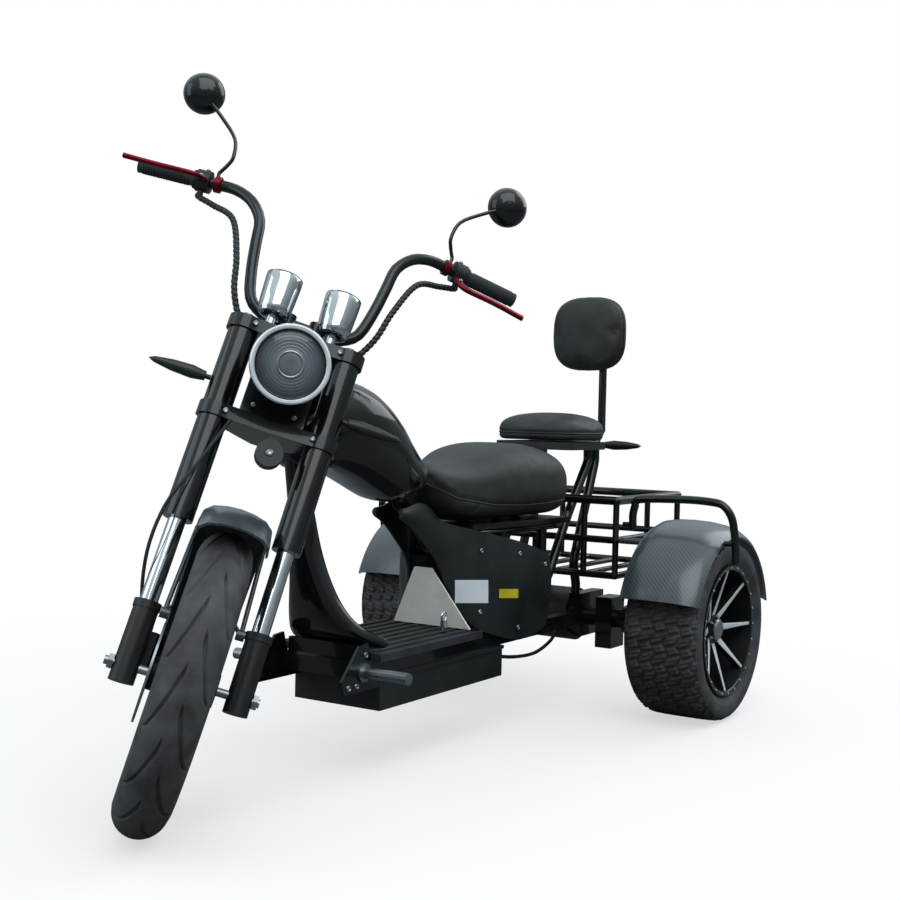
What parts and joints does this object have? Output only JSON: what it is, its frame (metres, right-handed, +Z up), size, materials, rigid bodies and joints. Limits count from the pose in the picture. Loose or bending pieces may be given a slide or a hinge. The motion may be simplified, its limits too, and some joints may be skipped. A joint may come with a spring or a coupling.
{
  "type": "electric tricycle",
  "caption": "Chopper-style electric tricycle with a raked steering fork, step-through deck, saddle, pillion seat with backrest, rear rack and wide rear wheels under domed fenders.",
  "frame": {"origin": "on the floor below the middle of the bounding box, on the vehicle's centre plane", "axes": "+X forward along the vehicle, +Y to the rider's left, +Z up"},
  "size_m": [1.9108, 1.0808, 1.449],
  "materials": {
    "frame_paint": "gloss black",
    "gloss_cover": "gloss black",
    "satin_plastic": "satin black",
    "carbon_pattern": "dark woven pattern under clear gloss",
    "cast_black": "satin black",
    "chrome": "polished",
    "steel": "brushed",
    "pale_plate": "pale satin",
    "vinyl": "soft black vinyl",
    "rubber": "matte",
    "tyre": "matte",
    "lamp_glass": "dark clear",
    "wine_anodised": "wine red"
  },
  "bodies": {
    "chassis": {"head_frame": "frame_paint", "floor_frame": "frame_paint", "gusset_plates": "frame_paint", "foot_pegs": "steel", "front_shield": "gloss_cover", "footboard": "rubber", "battery_box": "satin_plastic", "battery_lock": "chrome", "tank_cover": "gloss_cover", "seat_frame": "frame_paint", "electronics_case": "satin_plastic", "side_panels": "satin_plastic", "front_panel": "pale_plate", "main_seat": "vinyl", "pillion_base": "satin_plastic", "pillion_seat": "vinyl", "seat_struts": "frame_paint", "backrest_post": "frame_paint", "backrest_pad": "vinyl", "rear_indicators": "satin_plastic", "rear_axle": "frame_paint", "drive_motor": "cast_black", "rear_rack": "frame_paint", "rear_fender_left": "carbon_pattern", "rear_fender_right": "carbon_pattern", "guard_hoops": "frame_paint", "rear_cable": "rubber"},
    "steering": {"lower_clamp": "frame_paint", "upper_clamp": "frame_paint", "lamp_carrier": "frame_paint", "headlamp_bucket": "gloss_cover", "headlamp_ring": "chrome", "headlamp_lens": "lamp_glass", "gauges": "chrome", "gauge_faces": "lamp_glass", "stanchions": "chrome", "fork_covers": "gloss_cover", "fork_legs": "cast_black", "front_axle": "steel", "front_fender": "carbon_pattern", "front_caliper": "cast_black", "handlebar": "frame_paint", "grips": "rubber", "switch_housings": "satin_plastic", "brake_levers": "wine_anodised", "mirrors": "gloss_cover", "front_indicators": "satin_plastic", "horn": "satin_plastic", "cable_looms": "rubber", "brake_hose": "rubber"},
    "front_wheel": {"front_tyre": "tyre", "front_rim": "cast_black", "brake_disc": "steel"},
    "rear_left_wheel": {"rear_tyre_left": "tyre", "rear_rim_left": "cast_black"},
    "rear_right_wheel": {"rear_tyre_right": "tyre", "rear_rim_right": "cast_black"}
  },
  "joints": [
    {"name": "steering", "type": "hinge", "parent": "chassis", "child": "steering", "pos_m": [0.70175, 0, 0.25093], "axis": [-0.4226, 0, 0.9063], "range_deg": [-90, 0]},
    {"name": "front_wheel_spin", "type": "hinge", "parent": "steering", "child": "front_wheel", "pos_m": [0.73123, 0.03253, 0.26467], "axis": [-0.6409, 0.7071, -0.2988], "continuous": true},
    {"name": "rear_left_spin", "type": "hinge", "parent": "chassis", "child": "rear_left_wheel", "pos_m": [-0.68372, 0.4, 0.226], "axis": [0, 1, 0], "continuous": true},
    {"name": "rear_right_spin", "type": "hinge", "parent": "chassis", "child": "rear_right_wheel", "pos_m": [-0.68372, -0.4, 0.226], "axis": [0, 1, 0], "continuous": true}
  ]
}
